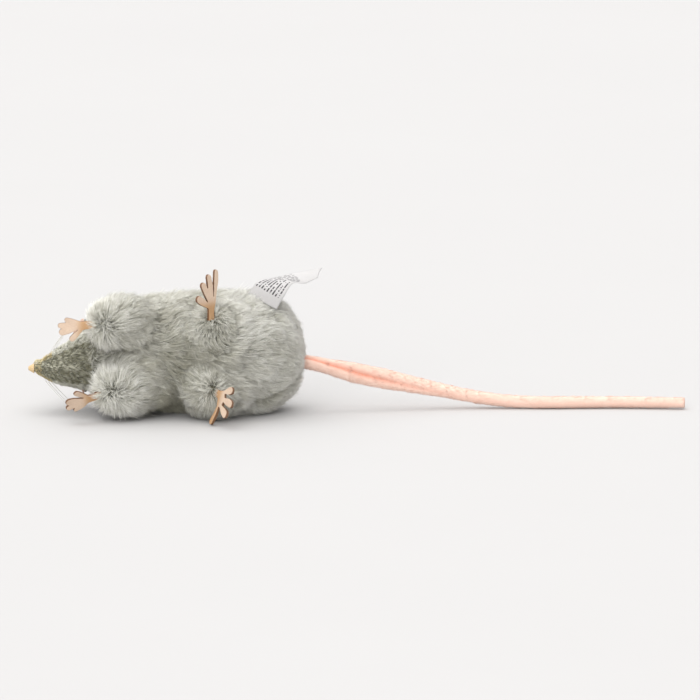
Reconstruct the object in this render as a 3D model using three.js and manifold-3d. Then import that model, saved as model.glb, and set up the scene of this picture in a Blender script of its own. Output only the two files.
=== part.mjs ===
// A stuffed toy mouse lying on its right side, belly towards -Y and nose towards -X.
// Millimetres, +Z up. The origin is on the flat of the right flank, where the toy rests.
// The mouse's left side is therefore its upper side (+Z).
import * as THREE from 'three';
import { mergeVertices } from 'three/addons/utils/BufferGeometryUtils.js';
import Module from 'manifold-3d';

const wasm = await Module();
wasm.setup();

// ---- driving dimensions ----

const GAP = 0.3;                 // between two pieces that touch
const PLUSH = 2.6;               // backing cloth and pressed pile of the body plush
const CLIPPED_PLUSH = 1.8;       // the shorter plush of the head
const SUEDE = 1.5;               // feet, a doubled layer
const AROUND = 24;               // facets around a body section
const HEAD_AROUND = 20;

const FAR = 200;                 // beyond the whole toy

const SIDE_SEAM_Y = -6;          // side seams run along this height between back and belly
const GUSSET_START_X = 27;       // behind this the belly gusset tapers to its point
const GUSSET_TAPER = 0.75;       // mm towards the belly for each mm towards the tail
const GUSSET_END_X = 57;

const MIDPLANE_Z = 31;           // the back seam lies in this plane
const NECK_OPENING_X = -58;      // front edge of the body plush
const BODY_FILLING_X = -49;      // front of the body's stuffing, behind the neck

// Torso sections from neck to hips: x, centre y and z, half depth, half width
const TORSO = [
  [-58, 2.0, 28.5, 19.0, 20.0],
  [-48, 2.0, 30.0, 23.5, 24.5],
  [-34, 1.5, 30.6, 26.0, 28.5],
  [-14, 0.8, 30.8, 27.0, 31.2],
  [6, 0.0, 31.0, 28.0, 32.4],
  [26, 0.0, 31.0, 28.0, 32.6],
];
const RUMP_LENGTH = 28.6;        // the rump rounds off over this length
const RUMP_RINGS = [18, 35, 52, 68, 82];             // degrees round to the tail

// Head sections from nose to cheeks: x, centre y and z, half depth, half width
const HEAD = [
  [-92.6, -2.2, 23.8, 1.0, 0.9],
  [-89.6, -1.9, 23.8, 3.0, 2.7],
  [-85, -1.5, 23.9, 5.8, 5.4],
  [-79, -0.7, 24.4, 9.2, 9.0],
  [-72, 0.6, 25.6, 12.4, 12.2],
  [-64, 1.8, 27.2, 14.8, 14.8],
];
const NECK = new THREE.Vector3(-56, 2, 28);
const NECK_BALL = 16;            // the head's rounded back, which turns in the neck opening
const NECK_ROOM = 0.8;
const HEAD_BACK_RINGS = [-10, 8, 26, 44, 62, 80];    // degrees round to the back of the head
const HEAD_OPENING_X = -47;      // the head's plush is open behind this, inside the neck
const HEAD_MIDDLE_Z = 26;        // the forehead seam lies in this plane
const CHIN_SEAM_Y = -4.6;
const NOSE_CAP_X = -89.2;        // the stitched nose covers the head in front of this
const NOSE_LAP = 1.2;            // from the nose cap to the head's stuffing

// How far the soft joints give, in degrees each way: leg 15, ankle 25, tail 25, ear 13, neck 10
const LEG_ROOM = 1.9;            // mm around each leg, enough for its swing
const FOOT_FLEX = 25;
const TAIL_SWING = 25;
const SIDEWAYS = new THREE.Vector3(0, 0, 1);

const TAIL_RADIUS = 3.4;
const TAIL_ROOM = 1.5;           // around the tail's root, where the back seam ends
const TAIL_ROOM_LENGTH = 14;
const TAIL_ROUTE = [
  [53, 2.9, 26.9],
  [60, 3.4, 25.8],
  [70, 4.2, 23.4],
  [80, 5.0, 20.8],
  [92, 6.0, 18.0],
  [104, 7.0, 15.4],
  [117, 7.8, 12.6],
  [135, 8.4, 8.9],
  [148, 8.4, 6.3],
  [162, 8.0, 4.4],
  [176, 7.2, 3.6],
  [190, 6.8, 3.45],
  [204, 7.4, 3.45],
  [218, 7.9, 3.45],
  [232, 7.6, 3.45],
  [247, 6.6, 3.45],
  [262, 5.4, 3.45],
];

// The two long edges of the sewn-in label, from the seam to the free end
const LABEL_FRONT_EDGE = [
  [41.5, -13.5, 58.0], [45.6, -14.5, 65.4], [50.5, -13, 72.2], [56.7, -10, 71.6], [63.7, -7.5, 74.4],
];
const LABEL_BACK_EDGE = [
  [26, -4, 64.9], [31, -4, 71.3], [39, 3, 72.2], [52, 9, 74.2], [65.9, 12, 76.2],
];
const LABEL_THICKNESS = 0.5;

const EYE = { x: -77, dome: 2.7, height: 1.9, collar: 0.8, shank: 0.9, shankLength: 5.5 };
const WASHER = { radius: 3.6, depth: 3.6, thickness: 1 };  // depth counts down the shank
const ROOM = 0.3;                // around the eyes and ears, in the head's plush and stuffing
const EYE_OUTWARD = new THREE.Vector3(-0.25, 0.74, 0.62);

const EAR = { height: 12.5, width: 12.5, lining: 0.9, backing: 1.1, dish: 1.6 };
const EAR_ROOT = new THREE.Vector3(-65, 13.0, 10.8);     // z counts from the head's middle
const EAR_UP = new THREE.Vector3(0.08, 0.72, 0.65);
const EAR_FORWARD = new THREE.Vector3(-0.8, -0.45, 0.2);
const EAR_FOLD = 13;

// Whiskers stand in a row: the first one's place and turn around the head, then the steps
const WHISKER = {
  radius: 0.22, length: 16, perSide: 3, proud: 0.7, firstX: -83.5, stepX: 1.6, firstTurn: 78, stepTurn: 14,
};

// The heel: depth is sewn inside the leg, and the ankle bends just proud of the leg's end
const HEEL = { depth: 3.6, neck: 2, reach: 7, halfWidth: 2.2, proud: 1.0, slack: 0.4 };

// Toes as [root along, root across, tip along, tip across, width], from the outside in
const HIND_TOES = [
  [5, 1.8, 23.5, 3.7, 3.0],
  [5.2, 0.4, 21.4, -2.6, 3.7],
  [5, -1.1, 17.2, -7.4, 3.9],
  [4, -2.4, 9.6, -11.8, 4.0],
];
const SPREAD_HIND_TOES = [
  [9, 3.6, 16, 6.7, 4.0],
  [10.5, -0.6, 20.5, -0.4, 4.3],
  [9.5, -5.0, 18, -7.8, 4.3],
  [5, -6.3, 2.4, -16.6, 3.8],
];
const FORE_TOES = [
  [5.4, 1.6, 13.5, 3.4, 2.5],
  [6.0, 0.4, 17.2, 0.1, 2.8],
  [5.8, -0.9, 16.6, -3.8, 3.6],
  [4.4, -2.1, 10.8, -8.2, 3.1],
];
const TOE_WAIST = 0.36;          // a toe's width at its root, as a share of its full width
const TOE_BELLY = 0.72;          // where a toe reaches its full width, as a share of its length

// Each leg is a stuffed egg with its foot sewn into the end.
// reach is the leg's own direction, toes and across are the foot's directions.
const LEGS = [
  {
    name: 'fore_left', centre: [-43.5, -22, 52.5], long: 16.5, round: 12.5,
    reach: [-0.86, -0.5, 0.0], toes: [-1, -0.12, -0.02], across: [0, 0, 1], outline: FORE_TOES,
  },
  {
    name: 'fore_right', centre: [-39.5, -24, 17.2], long: 18, round: 12.5,
    reach: [-0.86, -0.48, -0.16], toes: [-0.9, -0.28, -0.36], across: [0.25, 0.55, -0.8],
    outline: FORE_TOES,
  },
  {
    name: 'hind_left', centre: [8, -21, 45.2], long: 15, round: 13,
    reach: [-0.1, -0.55, 0.83], toes: [0.04, 0, 1], across: [0.66, 0.75, 0], outline: HIND_TOES,
  },
  {
    name: 'hind_right', centre: [7, -26, 16], long: 15, round: 13,
    reach: [0.22, -0.97, 0.05], toes: [0.35, -0.93, -0.1], across: [0.3, 0, 0.95], outline: SPREAD_HIND_TOES,
  },
];

// ---- materials ----

function material(colour, roughness, metalness = 0) {
  return new THREE.MeshStandardMaterial({ color: colour, roughness, metalness });
}

const BODY_PLUSH = material('#9c9c8b', 0.95);
const HEAD_PLUSH = material('#86836f', 0.95);
const FORE_PLUSH = material('#bbb9ad', 0.95);
const FILLING = material('#f2f0ea', 1);
const SUEDE_PINK = material('#d8a98c', 0.85);
const EAR_PINK = material('#dcaea2', 0.85);
const VELOUR = material('#f2b7a2', 0.9);
const THREAD = material('#b98a4e', 0.7);
const RIBBON = material('#f1f1ee', 0.5);
const BEAD = material('#0b0b0c', 0.15);
const WASHER_PLASTIC = material('#e9e7df', 0.4);
const MONOFILAMENT = material('#e8e6e0', 0.3);

// ---- closed surfaces ----

function indexedGeometry(points, faces) {
  const geometry = new THREE.BufferGeometry();
  geometry.setAttribute('position', new THREE.Float32BufferAttribute(points.flatMap((p) => p.toArray()), 3));
  geometry.setIndex(faces.flat());
  return geometry;
}

// Skins a row of rings that have equally many points, and closes both ends with a fan.
function skinRings(rings) {
  const count = rings[0].length;
  const points = rings.flat();
  const faces = [];
  for (let row = 0; row + 1 < rings.length; row += 1) {
    for (let i = 0; i < count; i += 1) {
      const next = (i + 1) % count;
      const a = row * count;
      const b = a + count;
      faces.push([a + i, b + next, a + next], [a + i, b + i, b + next]);
    }
  }
  for (const end of [0, rings.length - 1]) {
    const ring = rings[end];
    const hub = points.length;
    points.push(ring.reduce((sum, p) => sum.add(p), new THREE.Vector3()).divideScalar(count));
    for (let i = 0; i < count; i += 1) {
      const from = end * count + i;
      const to = end * count + ((i + 1) % count);
      faces.push(end === 0 ? [from, to, hub] : [to, from, hub]);
    }
  }
  return indexedGeometry(points, faces);
}

// An upright oval ring, square to the X axis, in steps of angle from the belly to the left side
function ovalRing([x, y, z, depth, width], segments = AROUND) {
  const ring = [];
  for (let i = 0; i < segments; i += 1) {
    const angle = (2 * Math.PI * i) / segments;
    ring.push(new THREE.Vector3(x, y - depth * Math.cos(angle), z + width * Math.sin(angle)));
  }
  return ring;
}

// Smooth sections through a few given ones
function smoothSections(sections, steps) {
  const centres = new THREE.CatmullRomCurve3(sections.map(([x, y, z]) => new THREE.Vector3(x, y, z)));
  const sizes = new THREE.CatmullRomCurve3(sections.map(([x, , , d, w]) => new THREE.Vector3(x, d, w)));
  const result = [];
  for (let i = 0; i <= steps; i += 1) {
    const centre = centres.getPoint(i / steps);
    const size = sizes.getPoint(i / steps);
    result.push([centre.x, centre.y, centre.z, size.y, size.z]);
  }
  return result;
}

// ---- solids and cuts ----

function toSolid(geometry) {
  const bare = geometry.clone();
  bare.deleteAttribute('normal');
  bare.deleteAttribute('uv');
  const merged = mergeVertices(bare, 1e-4);
  return new wasm.Manifold(new wasm.Mesh({
    numProp: 3,
    vertProperties: merged.attributes.position.array,
    triVerts: new Uint32Array(merged.index.array),
  }));
}

function toMesh(name, solid, look) {
  const cut = solid.getMesh();
  const geometry = new THREE.BufferGeometry();
  geometry.setAttribute('position', new THREE.BufferAttribute(new Float32Array(cut.vertProperties), 3));
  geometry.setIndex(new THREE.BufferAttribute(new Uint32Array(cut.triVerts), 1));
  geometry.computeVertexNormals();
  const mesh = new THREE.Mesh(geometry, look);
  mesh.name = name;
  return mesh;
}

function boxSolid(low, high) {
  const size = new THREE.Vector3(...high).sub(new THREE.Vector3(...low));
  const geometry = new THREE.BoxGeometry(size.x, size.y, size.z);
  geometry.translate((low[0] + high[0]) / 2, (low[1] + high[1]) / 2, (low[2] + high[2]) / 2);
  return toSolid(geometry);
}

function ballSolid(centre, radius, segments = 20) {
  const geometry = new THREE.SphereGeometry(radius, segments, segments / 2);
  geometry.translate(centre.x, centre.y, centre.z);
  return toSolid(geometry);
}

function turned(solid, pivot, axis, degrees) {
  const turn = new THREE.Matrix4().makeTranslation(pivot.x, pivot.y, pivot.z)
    .multiply(new THREE.Matrix4().makeRotationAxis(axis.clone().normalize(), THREE.MathUtils.degToRad(degrees)))
    .multiply(new THREE.Matrix4().makeTranslation(-pivot.x, -pivot.y, -pivot.z));
  return solid.transform(turn.elements);
}

// The room that a solid needs as it turns from -limit to +limit degrees
function sweptRoom(solid, pivot, axis, limit, steps = 4) {
  let room = turned(solid, pivot, axis, -limit);
  for (let i = 1; i <= steps; i += 1) {
    room = room.add(turned(solid, pivot, axis, -limit + (2 * limit * i) / steps));
  }
  return room;
}

// Several solids as one
function joined(solids) {
  return solids.reduce((sum, solid) => sum.add(solid));
}

// ---- torso ----

function torsoSolid(inset, frontX) {
  const shrink = ([x, y, z, depth, width]) => [x, y, z, depth - inset, width - inset];
  const rings = smoothSections(TORSO, 10).map((section) => ovalRing(shrink(section)));
  const [hipX, hipY, hipZ, hipDepth, hipWidth] = TORSO[TORSO.length - 1];
  for (const degrees of RUMP_RINGS) {
    const angle = THREE.MathUtils.degToRad(degrees);
    const scale = Math.cos(angle);
    rings.push(ovalRing([
      hipX + (RUMP_LENGTH - inset) * Math.sin(angle), hipY, hipZ,
      (hipDepth - inset) * scale, (hipWidth - inset) * scale,
    ]));
  }
  const above = boxSolid([frontX, -FAR, inset], [FAR, FAR, FAR]);
  return toSolid(skinRings(rings)).intersect(above);
}

// The belly gusset as seen from the side: a straight seam, then a taper below the tail
function gussetRegion(offset) {
  const endY = SIDE_SEAM_Y - GUSSET_TAPER * (GUSSET_END_X - GUSSET_START_X);
  const outline = new THREE.Shape();
  outline.moveTo(-FAR, -FAR);
  outline.lineTo(GUSSET_END_X, -FAR);
  outline.lineTo(GUSSET_END_X, endY + offset);
  outline.lineTo(GUSSET_START_X, SIDE_SEAM_Y + offset);
  outline.lineTo(-FAR, SIDE_SEAM_Y + offset);
  outline.closePath();
  return toSolid(new THREE.ExtrudeGeometry(outline, { depth: FAR, bevelEnabled: false }));
}

// ---- head ----

function headSolid(inset, backX) {
  const rings = [];
  for (const [x, y, z, depth, width] of smoothSections(HEAD, 8)) {
    if (Math.min(depth, width) - inset > 0.4) {
      rings.push(ovalRing([x, y, z, depth - inset, width - inset], HEAD_AROUND));
    }
  }
  for (const degrees of HEAD_BACK_RINGS) {
    const angle = THREE.MathUtils.degToRad(degrees);
    const ball = NECK_BALL - inset;
    rings.push(ovalRing([
      NECK.x + ball * Math.sin(angle), NECK.y, NECK.z, ball * Math.cos(angle), ball * Math.cos(angle),
    ], HEAD_AROUND));
  }
  return toSolid(skinRings(rings)).intersect(boxSolid([-FAR, -FAR, -FAR], [backX, FAR, FAR]));
}

// A bead eye with its collar and shank, and the washer that clips onto it behind the cloth.
// Local +Y points out of the head; margin grows every face.
function eyeProfile(margin) {
  const rim = EYE.dome + margin;
  const points = [new THREE.Vector2(0, -EYE.shankLength - margin)];
  points.push(new THREE.Vector2(EYE.shank + margin, -EYE.shankLength - margin));
  points.push(new THREE.Vector2(EYE.shank + margin, -EYE.collar - margin));
  points.push(new THREE.Vector2(rim * 0.86, -EYE.collar - margin));
  for (let i = 0; i <= 4; i += 1) {
    const angle = (Math.PI / 2) * (i / 4);
    points.push(new THREE.Vector2(rim * Math.cos(angle), (EYE.height + margin) * Math.sin(angle)));
  }
  points[points.length - 1].x = 0;
  return points;
}

function washerProfile(margin) {
  const inner = EYE.shank + GAP - margin;
  const outer = WASHER.radius + margin;
  const top = -WASHER.depth + margin;
  const bottom = -WASHER.depth - WASHER.thickness - margin;
  return [
    new THREE.Vector2(inner, bottom), new THREE.Vector2(outer, bottom),
    new THREE.Vector2(outer, top), new THREE.Vector2(inner, top), new THREE.Vector2(inner, bottom),
  ];
}

// Turns a local +Y shape to point along a direction, and moves it there
function placeAlong(geometry, place, direction) {
  const turn = new THREE.Quaternion().setFromUnitVectors(
    new THREE.Vector3(0, 1, 0), direction.clone().normalize(),
  );
  geometry.applyQuaternion(turn);
  geometry.translate(place.x, place.y, place.z);
  return geometry;
}

function sideVector(vector, side) {
  return new THREE.Vector3(vector.x, vector.y, vector.z * side);
}

// Centre and half sizes of the head at a distance along it
function headSectionAt(x) {
  const sections = smoothSections(HEAD, 60);
  return sections.reduce((best, s) => (Math.abs(s[0] - x) < Math.abs(best[0] - x) ? s : best));
}

function eyePlace(side) {
  const [, y, z, depth, width] = headSectionAt(EYE.x);
  const across = new THREE.Vector2(EYE_OUTWARD.y, EYE_OUTWARD.z).normalize();
  return new THREE.Vector3(EYE.x, y + depth * across.x, z + side * width * across.y);
}

function eyeSolid(side, margin) {
  const lathe = new THREE.LatheGeometry(eyeProfile(margin), 12);
  return toSolid(placeAlong(lathe, eyePlace(side), sideVector(EYE_OUTWARD, side)));
}

function washerSolid(side, margin) {
  const lathe = new THREE.LatheGeometry(washerProfile(margin), 12);
  return toSolid(placeAlong(lathe, eyePlace(side), sideVector(EYE_OUTWARD, side)));
}

// An ear layer: a rounded flap, dished like a spoon. Local X across, Y up, Z out of its hollow face
function earLayer(thickness, offset, grow = 0) {
  const outline = new THREE.Shape();
  const half = EAR.width / 2 + grow;
  outline.moveTo(-half * 0.5, -grow);
  outline.bezierCurveTo(-half * 1.15, 3, -half * 1.05, EAR.height * 0.85, 0, EAR.height + grow);
  outline.bezierCurveTo(half * 1.05, EAR.height * 0.85, half * 1.15, 3, half * 0.5, -grow);
  outline.closePath();
  const flat = new THREE.ExtrudeGeometry(outline, {
    depth: thickness + 2 * grow, bevelEnabled: false, curveSegments: 5,
  });
  flat.translate(0, 0, offset - grow);
  const place = flat.attributes.position;
  for (let i = 0; i < place.count; i += 1) {
    const across = place.getX(i) / (EAR.width / 2);
    place.setZ(i, place.getZ(i) + EAR.dish * across * across);
  }
  return flat;
}

function earFrame(side) {
  const up = sideVector(EAR_UP, side).normalize();
  const forward = sideVector(EAR_FORWARD, side).normalize();
  const across = new THREE.Vector3().crossVectors(up, forward).normalize();
  const out = new THREE.Vector3().crossVectors(across, up).normalize();
  const root = new THREE.Vector3(EAR_ROOT.x, EAR_ROOT.y, headSectionAt(EAR_ROOT.x)[2] + side * EAR_ROOT.z);
  return { frame: new THREE.Matrix4().makeBasis(across, up, out).setPosition(root), root, across };
}

function earSolid(side, thickness, offset, grow = 0) {
  return toSolid(earLayer(thickness, offset, grow).applyMatrix4(earFrame(side).frame));
}

function whiskerSolid(side, index) {
  const x = WHISKER.firstX + WHISKER.stepX * index;
  const [, y, z, depth, width] = headSectionAt(x);
  const around = THREE.MathUtils.degToRad(WHISKER.firstTurn + WHISKER.stepTurn * index);
  const direction = new THREE.Vector3(0.62, 0.12 * (index - 1), 0.78 * side).normalize();
  const start = new THREE.Vector3(
    x, y - (depth + WHISKER.proud) * Math.cos(around), z + side * (width + WHISKER.proud) * Math.sin(around),
  );
  const rod = new THREE.CylinderGeometry(WHISKER.radius * 0.5, WHISKER.radius, WHISKER.length, 6);
  rod.translate(0, WHISKER.length / 2, 0);
  return toSolid(placeAlong(rod, start, direction));
}

// ---- legs and feet ----

// An egg drawn out along the leg, a little fuller at the root
function legEgg(leg, inset) {
  const long = leg.long - inset;
  const round = leg.round - inset;
  const profile = [];
  for (let i = 0; i <= 8; i += 1) {
    const angle = -Math.PI / 2 + (Math.PI * i) / 8;
    profile.push(new THREE.Vector2(round * Math.cos(angle), long * Math.sin(angle)));
  }
  profile[0].x = 0;
  profile[profile.length - 1].x = 0;
  const lathe = new THREE.LatheGeometry(profile, 16);
  return toSolid(placeAlong(lathe, new THREE.Vector3(...leg.centre), new THREE.Vector3(...leg.reach)));
}

// The ankle lies just proud of the end of the egg, on its axis.
function anklePoint(leg) {
  const reach = new THREE.Vector3(...leg.reach).normalize();
  return new THREE.Vector3(...leg.centre).addScaledVector(reach, leg.long + HEEL.proud);
}

function footAxes(leg) {
  const along = new THREE.Vector3(...leg.toes).normalize();
  const out = new THREE.Vector3().crossVectors(along, new THREE.Vector3(...leg.across)).normalize();
  const across = new THREE.Vector3().crossVectors(out, along).normalize();
  return { along, across, out };
}

// A petal-shaped toe: narrow where it leaves the palm, full from halfway on, with a round tip
function toeShape([rootAlong, rootAcross, tipAlong, tipAcross, width]) {
  const heading = Math.atan2(tipAcross - rootAcross, tipAlong - rootAlong);
  const radius = width / 2;
  const forward = new THREE.Vector2(Math.cos(heading), Math.sin(heading));
  const side = new THREE.Vector2(-forward.y, forward.x).multiplyScalar(radius);
  const root = new THREE.Vector2(rootAlong, rootAcross).addScaledVector(forward, -radius);
  const tip = new THREE.Vector2(tipAlong, tipAcross).addScaledVector(forward, -radius);
  const belly = root.clone().lerp(tip, TOE_BELLY);
  const shape = new THREE.Shape();
  shape.moveTo(root.x - side.x * TOE_WAIST, root.y - side.y * TOE_WAIST);
  shape.lineTo(belly.x - side.x, belly.y - side.y);
  shape.lineTo(tip.x - side.x, tip.y - side.y);
  shape.absarc(tip.x, tip.y, radius, heading - Math.PI / 2, heading + Math.PI / 2, false);
  shape.lineTo(belly.x + side.x, belly.y + side.y);
  shape.lineTo(root.x + side.x * TOE_WAIST, root.y + side.y * TOE_WAIST);
  shape.closePath();
  return shape;
}

// The narrow heel and the palm that joins the toes
function palmShape(toes) {
  const shape = new THREE.Shape();
  shape.moveTo(-HEEL.depth, -HEEL.halfWidth);
  shape.lineTo(HEEL.neck, -HEEL.halfWidth);
  for (const [along, across, , , width] of [...toes].reverse()) {
    shape.lineTo(along, across - TOE_WAIST * width / 2);
    shape.lineTo(along, across + TOE_WAIST * width / 2);
  }
  shape.lineTo(HEEL.neck, HEEL.halfWidth);
  shape.lineTo(-HEEL.depth, HEEL.halfWidth);
  shape.closePath();
  return shape;
}

function placeAtAnkle(leg, geometry) {
  const { along, across, out } = footAxes(leg);
  return geometry.applyMatrix4(new THREE.Matrix4().makeBasis(along, across, out).setPosition(anklePoint(leg)));
}

function footSolid(leg) {
  const shapes = [palmShape(leg.outline), ...leg.outline.map(toeShape)];
  const layers = shapes.map((shape) => {
    const layer = new THREE.ExtrudeGeometry(shape, { depth: SUEDE, bevelEnabled: false, curveSegments: 4 });
    return toSolid(layer.translate(0, 0, -SUEDE / 2));
  });
  const { along, across, out } = footAxes(leg);
  const place = new THREE.Matrix4().makeBasis(along, across, out).setPosition(anklePoint(leg));
  return joined(layers).transform(place.elements);
}

// Room in the end of the leg for the heel, all through the ankle's flex
function heelRoom(leg) {
  const length = HEEL.depth + HEEL.reach;
  const slot = new THREE.BoxGeometry(
    length, 2 * (HEEL.halfWidth + 2 * HEEL.slack), SUEDE + 2 * HEEL.slack,
  );
  slot.translate(length / 2 - HEEL.depth - HEEL.slack, 0, 0);
  return sweptRoom(toSolid(placeAtAnkle(leg, slot)), anklePoint(leg), footAxes(leg).across, FOOT_FLEX);
}

// ---- tail and label ----

function curveThrough(points) {
  return new THREE.CatmullRomCurve3(points.map((p) => new THREE.Vector3(...p)));
}

function tailSolid() {
  const section = new THREE.Shape();
  section.absarc(0, 0, TAIL_RADIUS, 0, 2 * Math.PI, false);
  return toSolid(new THREE.ExtrudeGeometry(section, {
    steps: 34, curveSegments: 4, bevelEnabled: false, extrudePath: curveThrough(TAIL_ROUTE),
  }));
}

// Room in the rump for the root of the tail, all along its swing
function tailRootRoom() {
  const pivot = new THREE.Vector3(...TAIL_ROUTE[0]);
  const towards = new THREE.Vector3(...TAIL_ROUTE[1]).sub(pivot);
  const radius = TAIL_RADIUS + TAIL_ROOM;
  const rod = new THREE.CylinderGeometry(radius, radius, TAIL_ROOM_LENGTH, 12);
  rod.translate(0, TAIL_ROOM_LENGTH / 2, 0);
  const swept = sweptRoom(toSolid(placeAlong(rod, pivot, towards)), pivot, SIDEWAYS, TAIL_SWING, 3);
  return swept.add(ballSolid(pivot, radius + 0.2, 12));
}

function labelSolid() {
  const front = curveThrough(LABEL_FRONT_EDGE);
  const back = curveThrough(LABEL_BACK_EDGE);
  const rings = [];
  const steps = 10;
  for (let i = 0; i <= steps; i += 1) {
    const a = front.getPoint(i / steps);
    const b = back.getPoint(i / steps);
    const along = front.getTangent(i / steps).add(back.getTangent(i / steps));
    const half = new THREE.Vector3().crossVectors(b.clone().sub(a), along).setLength(LABEL_THICKNESS / 2);
    rings.push([a.clone().sub(half), b.clone().sub(half), b.clone().add(half), a.clone().add(half)]);
  }
  return toSolid(skinRings(rings));
}

// ---- assembly ----

const mouse = new THREE.Group();

function addPiece(name, solid, look) {
  mouse.add(toMesh(name, solid, look));
}

const BOTH_SIDES = [[1, 'left'], [-1, 'right']];

function addLeg(leg) {
  const room = heelRoom(leg);
  const skin = legEgg(leg, 0).subtract(legEgg(leg, PLUSH)).subtract(room);
  addPiece(`leg_${leg.name}_skin`, skin, leg.name.startsWith('fore') ? FORE_PLUSH : BODY_PLUSH);
  addPiece(`leg_${leg.name}_stuffing`, legEgg(leg, PLUSH + GAP).subtract(room), FILLING);
  addPiece(`foot_${leg.name}`, footSolid(leg), SUEDE_PINK);
}

// Two back panels and a belly gusset around the stuffing, with room for the legs to swing,
// for the head to nod and for the tail
function addTorso() {
  const room = joined([
    ...LEGS.map((leg) => legEgg(leg, -LEG_ROOM)), ballSolid(NECK, NECK_BALL + NECK_ROOM, 18), tailRootRoom(),
  ]);
  const shell = torsoSolid(0, NECK_OPENING_X).subtract(torsoSolid(PLUSH, -FAR)).subtract(room);
  const back = shell.subtract(gussetRegion(GAP / 2));
  const leftHalf = boxSolid([-FAR, -FAR, MIDPLANE_Z + GAP / 2], [FAR, FAR, FAR]);
  const rightHalf = boxSolid([-FAR, -FAR, -FAR], [FAR, FAR, MIDPLANE_Z - GAP / 2]);
  addPiece('back_panel_left', back.intersect(leftHalf), BODY_PLUSH);
  addPiece('back_panel_right', back.intersect(rightHalf), BODY_PLUSH);
  addPiece('belly_panel', shell.intersect(gussetRegion(-GAP / 2)), BODY_PLUSH);
  addPiece('body_stuffing', torsoSolid(PLUSH + GAP, BODY_FILLING_X).subtract(room), FILLING);
}

// The room that both eyes with their washers, and both folding ears, need in the head
function headFittings() {
  return joined(BOTH_SIDES.flatMap(([side]) => {
    const { root, across } = earFrame(side);
    const ear = earSolid(side, EAR.lining + EAR.backing + GAP, -EAR.backing - GAP, ROOM + 0.1);
    return [eyeSolid(side, ROOM), washerSolid(side, ROOM), sweptRoom(ear, root, across, EAR_FOLD)];
  }));
}

// Two head sides that meet along the forehead, a chin piece, the stuffing and the stitched nose
function addHead() {
  const fittings = headFittings();
  const behindNose = boxSolid([NOSE_CAP_X, -FAR, -FAR], [FAR, FAR, FAR]);
  const behindLap = boxSolid([NOSE_CAP_X + NOSE_LAP, -FAR, -FAR], [FAR, FAR, FAR]);
  const shell = headSolid(0, HEAD_OPENING_X).subtract(headSolid(CLIPPED_PLUSH, FAR))
    .subtract(fittings).intersect(behindNose);
  const chin = boxSolid([-FAR, -FAR, -FAR], [FAR, CHIN_SEAM_Y, FAR]);
  const leftHalf = boxSolid([-FAR, CHIN_SEAM_Y + GAP, HEAD_MIDDLE_Z + GAP / 2], [FAR, FAR, FAR]);
  const rightHalf = boxSolid([-FAR, CHIN_SEAM_Y + GAP, -FAR], [FAR, FAR, HEAD_MIDDLE_Z - GAP / 2]);
  addPiece('head_panel_left', shell.intersect(leftHalf), HEAD_PLUSH);
  addPiece('head_panel_right', shell.intersect(rightHalf), HEAD_PLUSH);
  addPiece('chin_panel', shell.intersect(chin), HEAD_PLUSH);
  const filling = headSolid(CLIPPED_PLUSH + GAP, FAR).subtract(fittings).intersect(behindLap);
  addPiece('head_stuffing', filling, FILLING);
  addPiece('nose_stitching', headSolid(0, NOSE_CAP_X - GAP), THREAD);
}

LEGS.forEach(addLeg);
addTorso();
addHead();

for (const [side, word] of BOTH_SIDES) {
  addPiece(`eye_${word}`, eyeSolid(side, 0), BEAD);
  addPiece(`eye_washer_${word}`, washerSolid(side, 0), WASHER_PLASTIC);
  addPiece(`ear_${word}_lining`, earSolid(side, EAR.lining, 0), EAR_PINK);
  addPiece(`ear_${word}_back`, earSolid(side, EAR.backing, -EAR.backing - GAP), HEAD_PLUSH);
  for (let i = 0; i < WHISKER.perSide; i += 1) {
    addPiece(`whisker_${word}_${i + 1}`, whiskerSolid(side, i), MONOFILAMENT);
  }
}

addPiece('tail', tailSolid(), VELOUR);
addPiece('label', labelSolid(), RIBBON);

export default mouse;
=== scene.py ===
"""A plush toy mouse lying on its right side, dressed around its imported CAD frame.

Lengths in the tables are millimetres, as in the CAD source; meshes are made in metres.
Fur is geometry: every strand is a closed three-sided spike, rooted on a sewn skin.
"""

import math

import bpy
import numpy as np
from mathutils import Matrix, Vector
from mathutils.kdtree import KDTree


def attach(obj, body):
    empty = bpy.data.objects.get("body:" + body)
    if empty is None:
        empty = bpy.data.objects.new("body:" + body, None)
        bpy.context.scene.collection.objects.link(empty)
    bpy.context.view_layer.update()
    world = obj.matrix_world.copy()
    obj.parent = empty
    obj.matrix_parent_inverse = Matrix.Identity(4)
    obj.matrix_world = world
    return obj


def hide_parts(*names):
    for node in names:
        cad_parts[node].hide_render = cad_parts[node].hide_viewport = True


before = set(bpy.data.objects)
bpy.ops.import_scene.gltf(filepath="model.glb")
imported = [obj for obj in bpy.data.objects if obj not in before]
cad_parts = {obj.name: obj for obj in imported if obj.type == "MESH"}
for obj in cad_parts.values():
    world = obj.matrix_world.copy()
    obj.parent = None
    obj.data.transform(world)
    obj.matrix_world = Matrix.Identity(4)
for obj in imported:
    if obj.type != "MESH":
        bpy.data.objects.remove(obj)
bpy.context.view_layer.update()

MM = 0.001
SEED = 7
BAKE_UV = "OFBake"  # strands carry (tone, height) in this map
LABEL_UV = "ribbon"  # the label carries (across, along) in this map

# ---- the toy's forms, as the CAD source has them ----

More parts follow.
